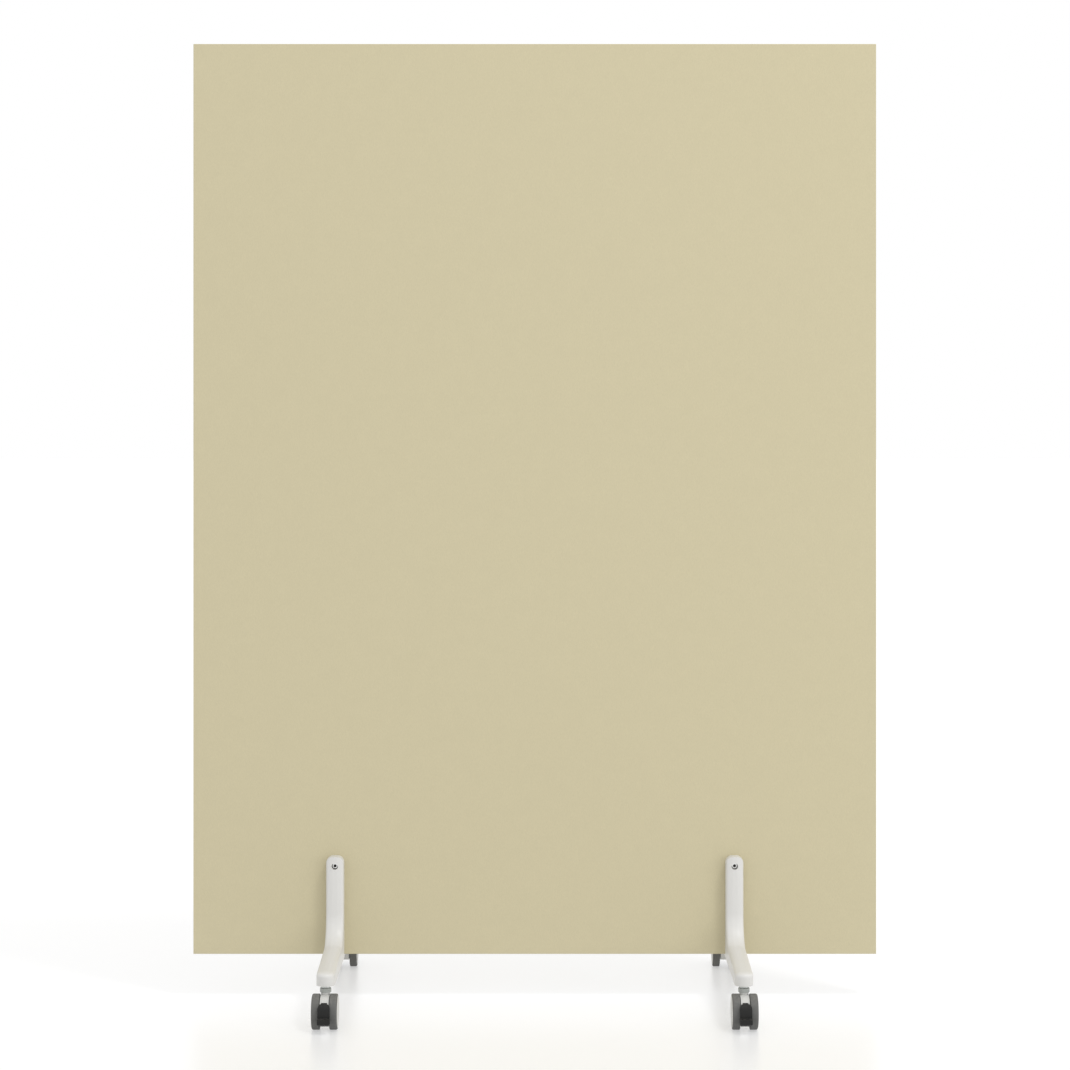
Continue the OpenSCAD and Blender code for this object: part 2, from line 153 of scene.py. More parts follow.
def takeUp(obj):
    deselectAll()
    obj.select_set(True)
    bpy.context.view_layer.objects.active = obj


def openEdit(obj):
    takeUp(obj)
    bpy.ops.object.mode_set(mode="EDIT")


def closeEdit():
    bpy.ops.object.mode_set(mode="OBJECT")


def pick(obj, kind, wanted):
    bpy.ops.mesh.select_mode(type=kind)
    bpy.ops.mesh.select_all(action="DESELECT")
    shape = bmesh.from_edit_mesh(obj.data)
    for item in shape.faces if kind == "FACE" else shape.edges:
        if wanted(item):
            item.select_set(True)
    bmesh.update_edit_mesh(obj.data)


def pickFaces(obj, wanted):
    pick(obj, "FACE", lambda face: wanted(face.calc_center_median(), face.normal))


def pickEdges(obj, wanted):
    pick(obj, "EDGE", lambda edge: wanted(edge.verts[0].co, edge.verts[1].co))


def isNear(a, b):
    return abs(a - b) < near


def push(x=0.0, y=0.0):
    bpy.ops.mesh.extrude_region_move(TRANSFORM_OT_translate={"value": (x, y, 0.0)})


def turnOutwards():
    bpy.ops.mesh.select_all(action="SELECT")
    bpy.ops.mesh.normals_make_consistent(inside=False)


def applyModifier(obj, mod):
    takeUp(obj)
    bpy.ops.object.modifier_apply(modifier=mod.name)


def bevelEdges(obj, width, segments, sharperThan):
    mod = obj.modifiers.new("roundedEdges", "BEVEL")
    mod.width = width
    mod.segments = segments
    mod.limit_method = "ANGLE"
    mod.angle_limit = math.radians(sharperThan)
    mod.use_clamp_overlap = True
    applyModifier(obj, mod)


def smoothOver(obj, angle=35.0):
    takeUp(obj)
    bpy.ops.object.shade_smooth_by_angle(angle=math.radians(angle))
    mod = obj.modifiers.new("evenShading", "WEIGHTED_NORMAL")
    mod.keep_sharp = True
    applyModifier(obj, mod)


def settle(obj):
    takeUp(obj)
    bpy.ops.object.transform_apply(location=True, rotation=True, scale=True)


def cutAway(obj, tool):
    mod = obj.modifiers.new("cut", "BOOLEAN")
    mod.operation = "DIFFERENCE"
    mod.solver = "EXACT"
    mod.object = tool
    applyModifier(obj, mod)
    bpy.data.objects.remove(tool, do_unlink=True)


def copyOf(obj, name, matrix=Matrix.Identity(4)):
    twin = bpy.data.objects.new(name, obj.data.copy())
    bpy.context.scene.collection.objects.link(twin)
    twin.matrix_world = matrix
    settle(twin)
    return twin


merging = {
    "weld": 0.004 * mm,
    "flatUnder": 0.3,       # degrees between two triangles of one flat face
}


def mergedCopy(nodeName, name):
    # a CAD node's mesh is loose triangles, so its copy is merged and its flat faces are joined
    piece = copyOf(nodes[nodeName], name)
    openEdit(piece)
    bpy.ops.mesh.select_all(action="SELECT")
    bpy.ops.mesh.remove_doubles(threshold=merging["weld"])
    bpy.ops.mesh.dissolve_limited(angle_limit=math.radians(merging["flatUnder"]))
    closeEdit()
    return piece


def handOver(piece, name, body, slotName, *stands):
    # the piece takes its place on a body, in the stead of its CAD nodes
    piece.name = name
    piece.data.name = name
    piece.data.materials.clear()
    piece.data.materials.append(looks[slotName])
    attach(piece, body)
    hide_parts(*stands)


# Shared effects, each a node group that is placed in the materials with its own values

def rgb(r, g, b):
    def linear(v):
        v = v / 255.0
        return v / 12.92 if v <= 0.04045 else ((v + 0.055) / 1.055) ** 2.4
    return (linear(r), linear(g), linear(b), 1.0)


def newGroup(name, takes, gives):
    # a group takes one value and gives one or more
    group = bpy.data.node_groups.new(name, "ShaderNodeTree")
    for label, way in [(takes, "INPUT")] + [(label, "OUTPUT") for label in gives]:
        group.interface.new_socket(name=label, in_out=way, socket_type="NodeSocketFloat")
    entry = group.nodes.new("NodeGroupInput")
    leave = group.nodes.new("NodeGroupOutput")
    return group, entry.outputs[takes], leave.inputs


def maths(tree, operation, a, b, clamp=False):
    node = tree.nodes.new("ShaderNodeMath")
    node.operation = operation
    node.use_clamp = clamp
    for socket, value in zip(node.inputs, (a, b)):
        if isinstance(value, (int, float)):
            socket.default_value = value
        else:
            tree.links.new(value, socket)
    return node.outputs[0]


def noiseAt(tree, place, scale, detail, roughness):
    node = tree.nodes.new("ShaderNodeTexNoise")
    node.inputs["Detail"].default_value = detail
    node.inputs["Roughness"].default_value = roughness
    tree.links.new(place, node.inputs["Vector"])
    if isinstance(scale, (int, float)):
        node.inputs["Scale"].default_value = scale
    else:
        tree.links.new(scale, node.inputs["Scale"])
    return node.outputs["Fac"]


def objectPlace(tree):
    return tree.nodes.new("ShaderNodeTexCoord").outputs["Object"]


def stretched(tree, place, scale, turn=(0.0, 0.0, 0.0)):
    node = tree.nodes.new("ShaderNodeMapping")
    node.inputs["Scale"].default_value = scale
    node.inputs["Rotation"].default_value = turn
    tree.links.new(place, node.inputs["Vector"])
    return node.outputs["Vector"]


def remap(tree, value, fromLow, fromHigh, toLow=0.0, toHigh=1.0):
    node = tree.nodes.new("ShaderNodeMapRange")
    node.inputs["From Min"].default_value = fromLow
    node.inputs["From Max"].default_value = fromHigh
    node.inputs["To Min"].default_value = toLow
    node.inputs["To Max"].default_value = toHigh
    tree.links.new(value, node.inputs["Value"])
    return node.outputs["Result"]


effects = {
    "grain": {
        "bumps": (3.0, 0.55),               # a noise's detail and roughness
        "drift": (14.0, 2.0, 0.5),          # waves per metre, detail and roughness
    },
    "dust": {
        "upward": (0.35, 0.95),             # a normal's height where dust begins and is full
        "noise": (260.0, 4.0, 0.6),
        "specks": (0.38, 0.75),             # the noise's values where a speck begins and is full
    },
    "wear": {
        "radius": 0.8 * mm,
        "samples": 4,
        "turning": (0.995, 0.90),           # cosines of the turn where wear begins and is full
        "noise": (130.0, 4.0, 0.65),
        "patches": (0.42, 0.66),
    },
    "scuffs": {
        "marks": (                          # stretch, turn and the noise's values that show
            ((900.0, 60.0, 60.0), (0.3, 0.5, 0.9), (0.66, 0.74)),
            ((60.0, 60.0, 900.0), (0.7, 0.2, 0.4), (0.67, 0.75)),
        ),
        "markNoise": (1.0, 2.0, 0.5),
        "noise": (22.0, 2.0, 0.5),
        "patches": (0.45, 0.65),
    },
    "fibres": {
        "turns": (0.4, 1.5, 2.6),           # radians, in the plane of the felt
        "stretch": (1.0, 1.0, 0.16),
        "strandNoise": (2.0, 0.6),
        "strands": (0.45, 0.75),
        "cloud": (45.0, 3.0, 0.6),
    },
}


def giveMask(group, amount, leave, one, two):
    both = maths(group, "MULTIPLY", one, two)
    group.links.new(maths(group, "MULTIPLY", both, amount), leave["Mask"])


def surfaceNormal(group):
    return group.nodes.new("ShaderNodeNewGeometry").outputs["Normal"]


def makeGrain(how):
    # small bumps of a moulded or coated surface, and broad drifts of tone
    group, perMetre, leave = newGroup("surfaceGrain", "Bumps per metre", ["Bumps", "Drift"])
    place = objectPlace(group)
    group.links.new(noiseAt(group, place, perMetre, *how["bumps"]), leave["Bumps"])
    group.links.new(noiseAt(group, place, *how["drift"]), leave["Drift"])
    return group


def makeDust(how):
    # dust that settles on what faces up
    group, amount, leave = newGroup("settledDust", "Amount", ["Mask"])
    split = group.nodes.new("ShaderNodeSeparateXYZ")
    group.links.new(surfaceNormal(group), split.inputs[0])
    upward = remap(group, split.outputs["Z"], *how["upward"])
    specks = remap(group, noiseAt(group, objectPlace(group), *how["noise"]), *how["specks"])
    giveMask(group, amount, leave, upward, specks)
    return group


def makeWear(how):
    # edges that are rubbed lighter, where the surface turns within a small radius
    group, amount, leave = newGroup("rubbedEdges", "Amount", ["Mask"])
    soft = group.nodes.new("ShaderNodeBevel")
    soft.samples = how["samples"]
    soft.inputs["Radius"].default_value = how["radius"]
    dot = group.nodes.new("ShaderNodeVectorMath")
    dot.operation = "DOT_PRODUCT"
    group.links.new(soft.outputs["Normal"], dot.inputs[0])
    group.links.new(surfaceNormal(group), dot.inputs[1])
    turning = remap(group, dot.outputs["Value"], *how["turning"])
    patches = remap(group, noiseAt(group, objectPlace(group), *how["noise"]), *how["patches"])
    giveMask(group, amount, leave, turning, patches)
    return group


def makeScuffs(how):
    # faint long marks, in two directions
    group, amount, leave = newGroup("lightScuffs", "Amount", ["Mask"])
    place = objectPlace(group)
    marks = []
    for stretch, turn, shown in how["marks"]:
        streaks = noiseAt(group, stretched(group, place, stretch, turn), *how["markNoise"])
        marks.append(remap(group, streaks, *shown))
    where = remap(group, noiseAt(group, place, *how["noise"]), *how["patches"])
    giveMask(group, amount, leave, maths(group, "MAXIMUM", *marks), where)
    return group


def makeFibres(how):
    # short fibres that lie in all directions on the face of pressed felt
    group, perMetre, leave = newGroup("pressedFibres", "Fibres per metre", ["Fibres", "Cloud"])
    place = objectPlace(group)
    fibres = None
    for turn in how["turns"]:
        along = stretched(group, place, how["stretch"], (0.0, turn, 0.0))
        strand = noiseAt(group, along, perMetre, *how["strandNoise"])
        fibres = strand if fibres is None else maths(group, "MAXIMUM", fibres, strand)
    group.links.new(remap(group, fibres, *how["strands"]), leave["Fibres"])
    group.links.new(noiseAt(group, place, *how["cloud"]), leave["Cloud"])
    return group


makers = {
    "grain": makeGrain, "dust": makeDust, "wear": makeWear, "scuffs": makeScuffs,
    "fibres": makeFibres,
}
groups = {effect: make(effects[effect]) for effect, make in makers.items()}


def addGroup(tree, name, value):
    node = tree.nodes.new("ShaderNodeGroup")
    node.node_tree = groups[name]
    node.inputs[0].default_value = value
    return node


def blendColours(tree, low, high, mask):
    node = tree.nodes.new("ShaderNodeMix")
    node.data_type = "RGBA"
    sockets = [socket for socket in node.inputs if socket.type == "RGBA"]
    for socket, value in zip(sockets, (low, high)):
        if isinstance(value, tuple):
            socket.default_value = value
        else:
            tree.links.new(value, socket)
    tree.links.new(mask, node.inputs[0])
    return [socket for socket in node.outputs if socket.type == "RGBA"][0]


def shade(colour, factor):
    return tuple(min(1.0, channel * factor) for channel in colour[:3]) + (1.0,)


def blendAround(tree, colour, spread, mask):
    return blendColours(tree, shade(colour, 1.0 - spread), shade(colour, 1.0 + spread), mask)


def bumpFrom(tree, shader, height, depth):
    node = tree.nodes.new("ShaderNodeBump")
    node.inputs["Strength"].default_value = 1.0
    node.inputs["Distance"].default_value = depth
    tree.links.new(height, node.inputs["Height"])
    tree.links.new(node.outputs["Normal"], shader.inputs["Normal"])


def newMaterial(name, how):
    mat = bpy.data.materials.new(name)
    mat.use_nodes = True
    shader = mat.node_tree.nodes["Principled BSDF"]
    shader.inputs["Roughness"].default_value = how["roughness"]
    shader.inputs["Metallic"].default_value = how.get("metallic", 0.0)
    shader.inputs["Specular IOR Level"].default_value = how.get("specular", 0.5)
    return mat, mat.node_tree, shader


surface = {
    "dustTone": rgb(205, 200, 190),
    "grainRange": (0.3, 0.7),       # the grain's values, and how far they move the roughness
    "smoother": 0.05,
    "rougher": 0.06,
    "scuffRoughness": 0.25,
}


def makeSurface(name, how):
    # a moulded, coated or plated surface
    mat, tree, shader = newMaterial(name, how)
    grain = addGroup(tree, "grain", how["bumpsPerMetre"])
    colour = blendAround(tree, how["colour"], how["drift"], grain.outputs["Drift"])
    wear = addGroup(tree, "wear", how["wear"]).outputs["Mask"]
    colour = blendColours(tree, colour, how["wornColour"], wear)
    scuffs = addGroup(tree, "scuffs", how["scuffs"]).outputs["Mask"]
    colour = blendColours(tree, colour, how["wornColour"], scuffs)
    # painted shade: points inside a socket are darkened in colour
    if "paintedShade" in how:
        paintedShadeWeight = tree.nodes.new("ShaderNodeAttribute")
        paintedShadeWeight.attribute_name = "socketPaintedShade"
        colour = blendColours(tree, colour, how["paintedShade"], paintedShadeWeight.outputs["Fac"])
    dust = addGroup(tree, "dust", how["dust"]).outputs["Mask"]
    colour = blendColours(tree, colour, surface["dustTone"], dust)
    tree.links.new(colour, shader.inputs["Base Color"])
    rough = remap(tree, grain.outputs["Bumps"], *surface["grainRange"],
                  how["roughness"] - surface["smoother"], how["roughness"] + surface["rougher"])
    scuffed = maths(tree, "MULTIPLY", scuffs, surface["scuffRoughness"])
    tree.links.new(maths(tree, "ADD", rough, scuffed, clamp=True), shader.inputs["Roughness"])
    bumpFrom(tree, shader, grain.outputs["Bumps"], how["bumpDepth"])
    return mat


def makeFeltLook(name, how):
    mat, tree, shader = newMaterial(name, how)
    shader.inputs["Sheen Weight"].default_value = how["sheen"]
    shader.inputs["Sheen Roughness"].default_value = how["sheenRoughness"]
    fibres = addGroup(tree, "fibres", how["fibresPerMetre"])
    colour = blendAround(tree, how["colour"], how["mottle"], fibres.outputs["Fibres"])
    cloud = remap(tree, fibres.outputs["Cloud"], *how["cloudRange"], 0.0, how["cloud"])
    colour = blendColours(tree, colour, shade(how["colour"], how["cloudShade"]), cloud)
    tree.links.new(colour, shader.inputs["Base Color"])
    bumpFrom(tree, shader, fibres.outputs["Fibres"], how["fibreDepth"])
    return mat


def makeCoreLook(name, how):
    # pressed wood chips
    mat, tree, shader = newMaterial(name, how)
    chips = tree.nodes.new("ShaderNodeTexVoronoi")
    chips.inputs["Scale"].default_value = how["chipsPerMetre"]
    tree.links.new(stretched(tree, objectPlace(tree), how["chipStretch"]), chips.inputs["Vector"])
    tone = tree.nodes.new("ShaderNodeSeparateColor")
    tree.links.new(chips.outputs["Color"], tone.inputs["Color"])
    colour = blendColours(tree, how["dark"], how["light"], tone.outputs[0])
    tree.links.new(colour, shader.inputs["Base Color"])
    bumpFrom(tree, shader, chips.outputs["Distance"], how["chipDepth"])
    return mat


finishes = {
    "white_coat": {
        "colour": rgb(209, 208, 205), "roughness": 0.42, "specular": 0.4, "bumpsPerMetre": 700.0,
        "bumpDepth": 0.03 * mm, "drift": 0.012, "wornColour": rgb(170, 170, 168), "wear": 0.10,
        "scuffs": 0.06, "dust": 0.10,
    },
    "zinc_steel": {
        "colour": rgb(200, 203, 200), "roughness": 0.42, "metallic": 0.8, "bumpsPerMetre": 2600.0,
        "bumpDepth": 0.008 * mm, "drift": 0.05, "wornColour": rgb(150, 150, 148), "wear": 0.25,
        "scuffs": 0.25, "dust": 0.10,
    },
    "bolt_steel": {
        "colour": rgb(226, 226, 224), "roughness": 0.20, "metallic": 1.0, "bumpsPerMetre": 3000.0,
        "bumpDepth": 0.006 * mm, "drift": 0.05, "wornColour": rgb(140, 140, 138), "wear": 0.3,
        # painted shade: the dark colour given to the inside of each socket
        "scuffs": 0.2, "dust": 0.05, "paintedShade": rgb(48, 47, 45),
    },
    "light_nylon": {
        "colour": rgb(196, 196, 193), "roughness": 0.46, "bumpsPerMetre": 1700.0,
        "bumpDepth": 0.012 * mm, "drift": 0.015, "wornColour": rgb(222, 222, 220), "wear": 0.25,
        "scuffs": 0.15, "dust": 0.12,
    },
    "grey_nylon": {
        "colour": rgb(168, 171, 167), "roughness": 0.46, "bumpsPerMetre": 1700.0,
        "bumpDepth": 0.012 * mm, "drift": 0.02, "wornColour": rgb(190, 190, 188), "wear": 0.25,
        "scuffs": 0.15, "dust": 0.12,
    },
    "dark_nylon": {
        "colour": rgb(84, 84, 82), "roughness": 0.52, "bumpsPerMetre": 1700.0,
        "bumpDepth": 0.012 * mm, "drift": 0.03, "wornColour": rgb(120, 120, 118), "wear": 0.25,
        "scuffs": 0.15, "dust": 0.15,
    },
    "grey_tread": {
        "colour": rgb(98, 98, 96), "roughness": 0.68, "specular": 0.3, "bumpsPerMetre": 1300.0,
        "bumpDepth": 0.03 * mm, "drift": 0.04, "wornColour": rgb(118, 117, 114), "wear": 0.35,
        "scuffs": 0.30, "dust": 0.12,
    },
    "black_nylon": {
        "colour": rgb(25, 25, 24), "roughness": 0.58, "specular": 0.3, "bumpsPerMetre": 1500.0,
        "bumpDepth": 0.02 * mm, "drift": 0.05, "wornColour": rgb(66, 66, 64), "wear": 0.30,
        "scuffs": 0.25, "dust": 0.06,
    },
}

feltFinish = {
    "colour": rgb(197, 188, 157),
    "roughness": 0.95,
    "specular": 0.2,
    "sheen": 0.05,
    "sheenRoughness": 0.5,
    "fibresPerMetre": 1500.0,
    "fibreDepth": 0.10 * mm,
    "mottle": 0.05,
    "cloud": 0.25,
    "cloudRange": (0.3, 0.7),
    "cloudShade": 0.93,
}

edgingFinish = dict(
    feltFinish, fibresPerMetre=2400.0, fibreDepth=0.05 * mm, mottle=0.03, sheen=0.0)

coreFinish = {
    "dark": rgb(150, 128, 96),
    "light": rgb(188, 168, 132),
    "roughness": 0.85,
    "chipsPerMetre": 420.0,
    "chipStretch": (1.0, 1.0, 0.4),
    "chipDepth": 0.2 * mm,
}

looks = {
    slotName: makeSurface(slotName.replace("_", "") + "Look", how)
    for slotName, how in finishes.items()
}
looks["felt"] = makeFeltLook("feltLook", feltFinish)
looks["edging"] = makeFeltLook("edgingLook", edgingFinish)
looks["core_board"] = makeCoreLook("coreLook", coreFinish)

for node in nodes.values():
    slotName = node.data.materials[0].name.split(".")[0]
    node.data.materials.clear()
    node.data.materials.append(looks[slotName])
print("finishes are made")


# The board: two felt faces and the strip that edges the core

felt = {
    "edgeRadius": 1.1 * mm,     # softly pressed outer edge of each face
    "edgeSteps": 4,
    "holeAround": 48,
    "holeClearance": 0.02 * mm,
    "cutterLength": 200.0 * mm,
}

edging = {
    "cornerRadius": 0.35 * mm,
    "cornerSteps": 2,
}


def makeBlock(nodeName):
    low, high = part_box(nodeName)
    deselectAll()
    bpy.ops.mesh.primitive_cube_add(size=1.0, location=(low + high) / 2)
    block = bpy.context.object
    block.scale = high - low
    settle(block)
    return block, low, high


def spacerPlaces():
    low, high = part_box("bolt_spacers")
    radius = (high.z - low.z) / 2
    return radius, [Vector((x, 0.0, low.z + radius)) for x in (low.x + radius, high.x - radius)]


def makeFelt(nodeName, name, outward):
    face, low, high = makeBlock(nodeName)
    front = low.y if outward < 0 else high.y
    openEdit(face)
    pickEdges(face, lambda a, b: isNear(a.y, front) and isNear(b.y, front))
    bpy.ops.mesh.bevel(offset=felt["edgeRadius"], segments=felt["edgeSteps"], profile=0.5)
    closeEdit()
    radius, places = spacerPlaces()
    for spot in places:
        bpy.ops.mesh.primitive_cylinder_add(
            vertices=felt["holeAround"], radius=radius + felt["holeClearance"],
            depth=felt["cutterLength"], location=spot, rotation=alongY)
        cutAway(face, bpy.context.object)
    smoothOver(face)
    handOver(face, name, "partition", "felt", nodeName)


def makeEdging():
    strip, low, high = makeBlock("board_edging")
    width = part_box("board_core")[0].x - low.x

    def onSide(point):
        return isNear(point.x, low.x) or isNear(point.x, high.x)

    openEdit(strip)
    pickFaces(strip, lambda c, n: abs(n.y) > facing)
    bpy.ops.mesh.inset(thickness=width, depth=0.0, use_individual=True)
    bpy.ops.mesh.bridge_edge_loops()
    pickEdges(strip, lambda a, b: onSide(a) and onSide(b) and isNear(a.y, b.y))
    bpy.ops.mesh.bevel(offset=edging["cornerRadius"], segments=edging["cornerSteps"])
    turnOutwards()
    closeEdit()
    smoothOver(strip)
    handOver(strip, "board_edging_strip", "partition", "edging", "board_edging")


makeFelt("front_felt", "front_felt_face", -1)
makeFelt("rear_felt", "rear_felt_face", 1)
makeEdging()
print("board is dressed")


# The feet: the castings with their edges rounded off

castFoot = {
    "edgeRadius": 1.0 * mm,
    "edgeSteps": 3,
    "bevelOver": 40.0,              # degrees
    "smoothUnder": 30.0,
    "boltEndInset": 1.0 * mm,       # the bolts end this far inside the rear uprights' faces
    "recessAround": 64,
    "recessAcross": 11.5 * mm,      # the bolt's recess at the upright's face
    "recessFloor": 10.7 * mm,       # and at its bottom
    "recessDepth": 13.5 * mm,
    "cutterProud": 2.0 * mm,        # the cutter starts this far in front of the face
}


def uprightFront():
    # the feet are as deep in front as behind, where the bolts' ends give the uprights' faces
    return -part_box("clamp_bolts")[1].y - castFoot["boltEndInset"]


def makeFoot(nodeName):
    foot = mergedCopy(nodeName, nodeName)
    low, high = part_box(nodeName)
    middle = (low.x + high.x) / 2
    bolt = min(spacerPlaces()[1], key=lambda spot: abs(spot.x - middle))
    proud = castFoot["cutterProud"]
    depth = castFoot["recessDepth"]
    taper = (castFoot["recessAcross"] - castFoot["recessFloor"]) / 2 / depth
    length = depth + proud
    bpy.ops.mesh.primitive_cone_add(
        vertices=castFoot["recessAround"], radius1=castFoot["recessFloor"] / 2,
        radius2=castFoot["recessAcross"] / 2 + taper * proud, depth=length,
        location=(bolt.x, uprightFront() - proud + length / 2, bolt.z), rotation=alongY)
    cutAway(foot, bpy.context.object)
    bevelEdges(foot, castFoot["edgeRadius"], castFoot["edgeSteps"], castFoot["bevelOver"])
    smoothOver(foot, castFoot["smoothUnder"])
    handOver(foot, nodeName + "_casting", "partition", "white_coat", nodeName)


makeFoot("left_foot")
makeFoot("right_foot")
print("feet are dressed")


# The clamp bolts and the sleeve nuts, with hexagon sockets

boltHead = {
    "around": 48,
    "across": 10.2 * mm,
    "height": 3.5 * mm,
    "rimShare": 0.3,            # of the height, straight up from the seat
    "crown": ((0.4, 0.97), (0.3, 0.90)),    # shares of the height, and how far each draws in
    "shank": 6.0 * mm,
    "socket": 5.0 * mm,         # across the flats
    "socketDepth": 4.5 * mm,
    "edgeRadius": 0.25 * mm,
    "edgeSteps": 2,
    "endRadius": 0.4 * mm,
    "sharperThan": 40.0,        # degrees
    # painted shade: the socket's inside is darkened in colour between these two depths
    "paintedShadeFrom": 0.3 * mm,       # below the head's top
    "paintedShadeTo": 8.0 * mm,
}

nutHead = dict(boltHead, across=10.0 * mm, shank=8.0 * mm, socketDepth=1.8 * mm)


def makeFastener(how, spot, seat, end, outward):
    # outward is the side along Y that the head faces
    rim = how["rimShare"] * how["height"]
    top = seat + outward * how["height"]
    corner = how["socket"] / math.sqrt(3.0)
    deselectAll()
    bpy.ops.mesh.primitive_cylinder_add(
        vertices=how["around"], radius=how["across"] / 2, depth=rim,
        location=(spot.x, seat + outward * rim / 2, spot.z), rotation=alongY)
    bolt = bpy.context.object
    settle(bolt)
    openEdit(bolt)
    pickFaces(bolt, lambda c, n: n.y * outward > facing)
    for rise, taper in how["crown"]:
        push(y=outward * rise * how["height"])
        bpy.ops.transform.resize(value=(taper, 1.0, taper))
    pickFaces(bolt, lambda c, n: n.y * outward < -facing)
    bpy.ops.mesh.inset(thickness=(how["across"] - how["shank"]) / 2, depth=0.0)
    push(y=end - seat)
    pickEdges(bolt, lambda a, b: isNear(a.y, end) and isNear(b.y, end))
    bpy.ops.mesh.bevel(offset=how["endRadius"], segments=how["edgeSteps"])
    closeEdit()
    bpy.ops.mesh.primitive_cylinder_add(
        vertices=6, radius=corner, depth=2 * how["socketDepth"],
        location=(spot.x, top, spot.z), rotation=alongY)
    cutAway(bolt, bpy.context.object)
    bevelEdges(bolt, how["edgeRadius"], how["edgeSteps"], how["sharperThan"])
    smoothOver(bolt, how["sharperThan"])
    paintShadeInSocket(how, bolt, spot, top, corner, outward)
    return bolt


def paintShadeInSocket(how, bolt, spot, top, corner, outward):
    # 1 on the points inside the socket, where shade is painted into the colour as a dark tone
    paintedShade = bolt.data.attributes.new("socketPaintedShade", "FLOAT", "POINT")
    for index, vertex in enumerate(bolt.data.vertices):
        away = math.hypot(vertex.co.x - spot.x, vertex.co.z - spot.z)
        deep = (top - vertex.co.y) * outward
        inside = away < corner + near and how["paintedShadeFrom"] < deep < how["paintedShadeTo"]
        paintedShade.data[index].value = 1.0 if inside else 0.0


def makeFasteners():
    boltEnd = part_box("clamp_bolts")[1].y
    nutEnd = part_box("sleeve_nuts")[0].y
    boltSeat = uprightFront() + castFoot["recessDepth"]
    for side, spot in zip(("left", "right"), spacerPlaces()[1]):
        bolt = makeFastener(boltHead, spot, boltSeat, boltEnd, -1)
        handOver(bolt, side + "_clamp_bolt", "partition", "bolt_steel", "clamp_bolts")
        nut = makeFastener(nutHead, spot, boltEnd, nutEnd, 1)
        handOver(nut, side + "_sleeve_nut", "partition", "bolt_steel", "sleeve_nuts")


makeFasteners()
print("bolts and nuts are dressed")


# A wheel, modelled once about the X axis with its capped side towards +X

wheel = {
    "around": 96,
    "axisReach": 0.1 * mm,          # a face with its middle this near to the axis is an end
    "smoothUnder": 40.0,            # degrees
    "shoulder": 3.0 * mm,
    "innerShoulder": 1.2 * mm,
    "shoulderSteps": 5,
    "innerEdge": 0.4 * mm,
    "innerEdgeSteps": 2,
    "capGap": 0.2 * mm,             # between the cap and the tyre
}

hubCap = {
    "faceShare": 0.62,              # of the cap's depth, up to the flat ring
    "edge": 0.5 * mm,
    "edgeSteps": 3,
    "grooveShare": 0.86,            # of the cap's radius
    "grooveWidth": 0.35 * mm,       # of each of its two walls
    "grooveDepth": 0.3 * mm,
    "bossShare": 0.42,              # of the cap's radius
    "bossEdge": 0.5 * mm,
    "bossInset": 0.5,               # of the boss's radius
    "domeShare": 0.55,              # of the rise above the ring; the boss takes the rest
    "domeSteps": 6,
    "smoothUnder": 30.0,
}


def radiusOf(point):
    return math.hypot(point.y, point.z)


def onRing(radius, x):
    def isOn(point):
        return isNear(radiusOf(point), radius) and isNear(point.x, x)
    return lambda a, b: isOn(a) and isOn(b)


def addDisc(radius, lowX, highX):
    deselectAll()
    bpy.ops.mesh.primitive_cylinder_add(
        vertices=wheel["around"], radius=radius, depth=highX - lowX,
        location=((lowX + highX) / 2, 0.0, 0.0), rotation=alongX)
    disc = bpy.context.object
    settle(disc)
    return disc


def wheelSizes():
    # measured on one wheel's CAD nodes, from the middle of its caster
    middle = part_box("front_right_axle")
    middle = (middle[0] + middle[1]) / 2
    sizes = {}
    for part in ("tyre", "rim", "cap"):
        low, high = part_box("front_right_outer_" + part)
        sizes[part] = (low.x - middle.x, high.x - middle.x, (high.z - low.z) / 2)
    return sizes


def makeTyre(sizes):
    low, high, radius = sizes["tyre"]
    seat = sizes["rim"][2]
    capSeat = sizes["cap"][2] + wheel["capGap"]
    capDepth = high - sizes["rim"][1]
    tyre = addDisc(radius, low, high)
    openEdit(tyre)
    pickFaces(tyre, lambda c, n: n.x > facing)
    bpy.ops.mesh.inset(thickness=radius - capSeat, depth=0.0)
    push(x=-capDepth)
    bpy.ops.mesh.inset(thickness=capSeat - seat, depth=0.0)
    pickFaces(tyre, lambda c, n: n.x < -facing)
    bpy.ops.mesh.inset(thickness=radius - seat, depth=0.0)
    pickFaces(tyre, lambda c, n: abs(n.x) > facing and radiusOf(c) < wheel["axisReach"])
    bpy.ops.mesh.bridge_edge_loops()
    for x, shoulder in ((low, wheel["innerShoulder"]), (high, wheel["shoulder"])):
        pickEdges(tyre, onRing(radius, x))
        bpy.ops.mesh.bevel(offset=shoulder, segments=wheel["shoulderSteps"])
    for ring, x in ((capSeat, high), (seat, low)):
        pickEdges(tyre, onRing(ring, x))
        bpy.ops.mesh.bevel(offset=wheel["innerEdge"], segments=wheel["innerEdgeSteps"])
    turnOutwards()
    closeEdit()
    smoothOver(tyre, wheel["smoothUnder"])
    return tyre


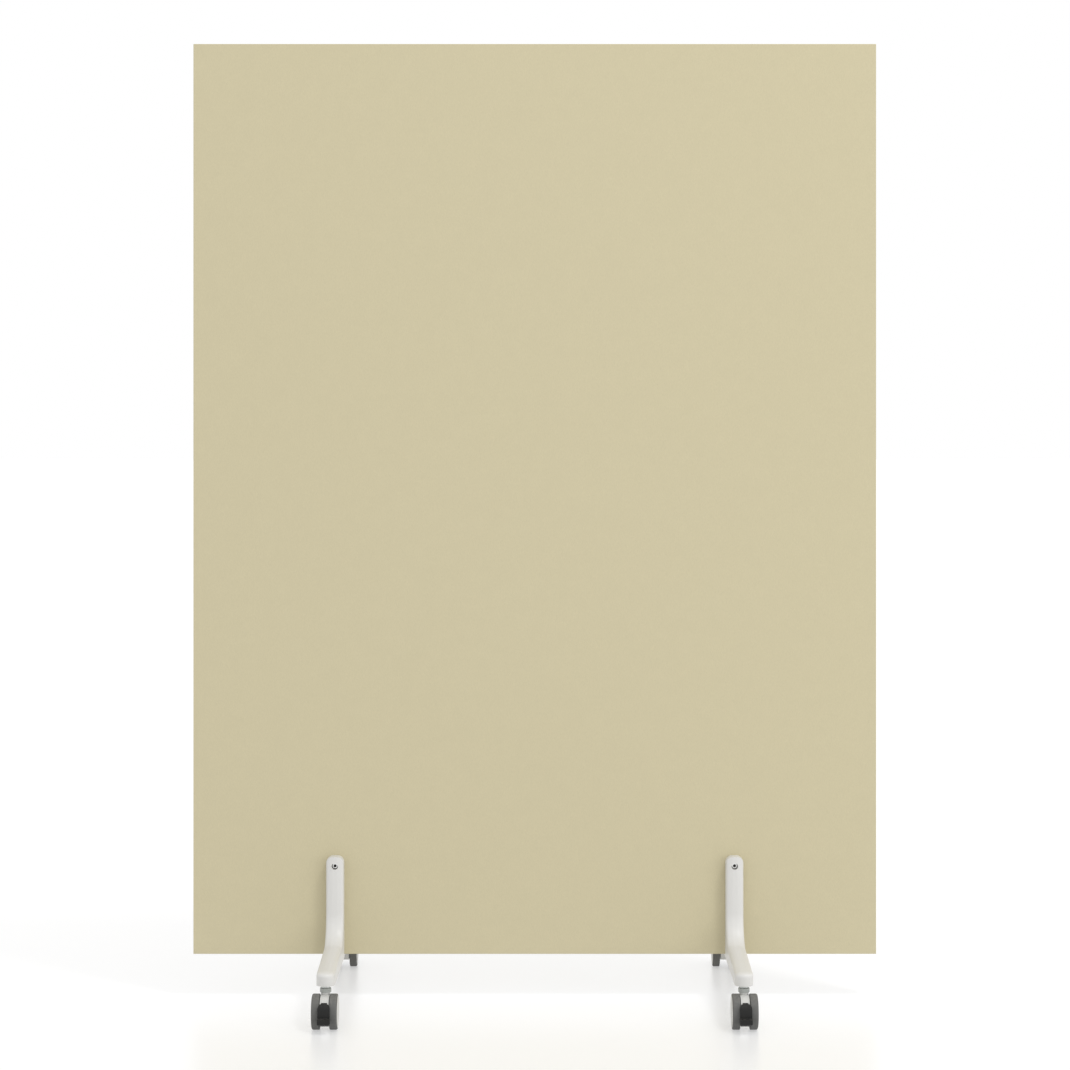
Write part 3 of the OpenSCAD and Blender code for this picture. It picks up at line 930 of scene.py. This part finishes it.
def makeCap(sizes):
    low, high, radius = sizes["cap"]
    face = low + hubCap["faceShare"] * (high - low)
    boss = hubCap["bossShare"] * radius
    cap = addDisc(radius, low, face)
    openEdit(cap)
    pickFaces(cap, lambda c, n: n.x > facing)
    bpy.ops.mesh.inset(thickness=(1.0 - hubCap["grooveShare"]) * radius, depth=0.0)
    for depth in (-hubCap["grooveDepth"], hubCap["grooveDepth"]):
        bpy.ops.mesh.inset(thickness=hubCap["grooveWidth"], depth=depth)
    dome = hubCap["grooveShare"] * radius - 2 * hubCap["grooveWidth"] - boss
    steps = hubCap["domeSteps"]
    for step in range(steps):
        # a shallow dome, in rings that rise less and less
        share = (1 - step / steps) ** 2 - (1 - (step + 1) / steps) ** 2
        bpy.ops.mesh.inset(
            thickness=dome / steps, depth=share * hubCap["domeShare"] * (high - face))
    bpy.ops.mesh.inset(
        thickness=hubCap["bossEdge"], depth=(1.0 - hubCap["domeShare"]) * (high - face))
    bpy.ops.mesh.inset(thickness=hubCap["bossInset"] * boss, depth=0.0)
    pickEdges(cap, onRing(radius, face))
    bpy.ops.mesh.bevel(offset=hubCap["edge"], segments=hubCap["edgeSteps"])
    closeEdit()
    smoothOver(cap, hubCap["smoothUnder"])
    return cap


def wheelPlace(name):
    # the middle of the wheel's caster on the axle, turned so that the cap faces outwards
    low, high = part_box(name.rsplit("_", 1)[0] + "_axle")
    middle = (low + high) / 2
    low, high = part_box(name + "_tyre")
    turn = 0.0 if (low.x + high.x) / 2 > middle.x else math.pi
    return Matrix.Translation(middle) @ Matrix.Rotation(turn, 4, "Z")


def makeWheels():
    sizes = wheelSizes()
    models = (
        (makeTyre(sizes), "tyre", "_soft_tyre", "grey_tread"),
        (makeCap(sizes), "cap", "_hub_cap", "light_nylon"),
    )
    for casterName in casterNames:
        for side in wheelSides:
            name = casterName + "_" + side
            where = wheelPlace(name)
            for model, part, ending, slotName in models:
                twin = copyOf(model, name + "_" + part, where)
                handOver(twin, name + ending, name + "_wheel", slotName, name + "_" + part)
    for entry in models:
        bpy.data.objects.remove(entry[0], do_unlink=True)


makeWheels()
print("wheels are dressed")


# The casters' housings, collars and pedals, rounded as moulded parts are

modelCaster = "front_left"

moulding = {
    "bevelOver": 28.0,              # degrees
    "smoothUnder": 32.0,
}

moulded = {
    "housing": {
        "radius": 0.7 * mm, "steps": 2, "slot": "light_nylon", "body": "_caster",
    },
    "swivel_collar": {
        "radius": 0.5 * mm, "steps": 3, "slot": "grey_nylon", "body": "_caster",
    },
    "pedal": {
        "radius": 0.9 * mm, "steps": 3, "slot": "black_nylon", "body": "_pedal",
    },
}


def collarMiddle(casterName):
    low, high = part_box(casterName + "_swivel_collar")
    return (low + high) / 2


def casterPlace(name):
    # from the first caster to another: the rear ones are turned about their stems
    turn = math.pi if name.startswith("rear") else 0.0
    return (Matrix.Translation(collarMiddle(name)) @ Matrix.Rotation(turn, 4, "Z")
            @ Matrix.Translation(-collarMiddle(modelCaster)))


def makeCasterPieces():
    for part, how in moulded.items():
        model = mergedCopy(modelCaster + "_" + part, part)
        bevelEdges(model, how["radius"], how["steps"], moulding["bevelOver"])
        smoothOver(model, moulding["smoothUnder"])
        for name in casterNames:
            twin = copyOf(model, name + "_" + part, casterPlace(name))
            handOver(
                twin, name + "_moulded_" + part, name + how["body"], how["slot"],
                name + "_" + part)
        bpy.data.objects.remove(model, do_unlink=True)


makeCasterPieces()
print("casters are dressed")
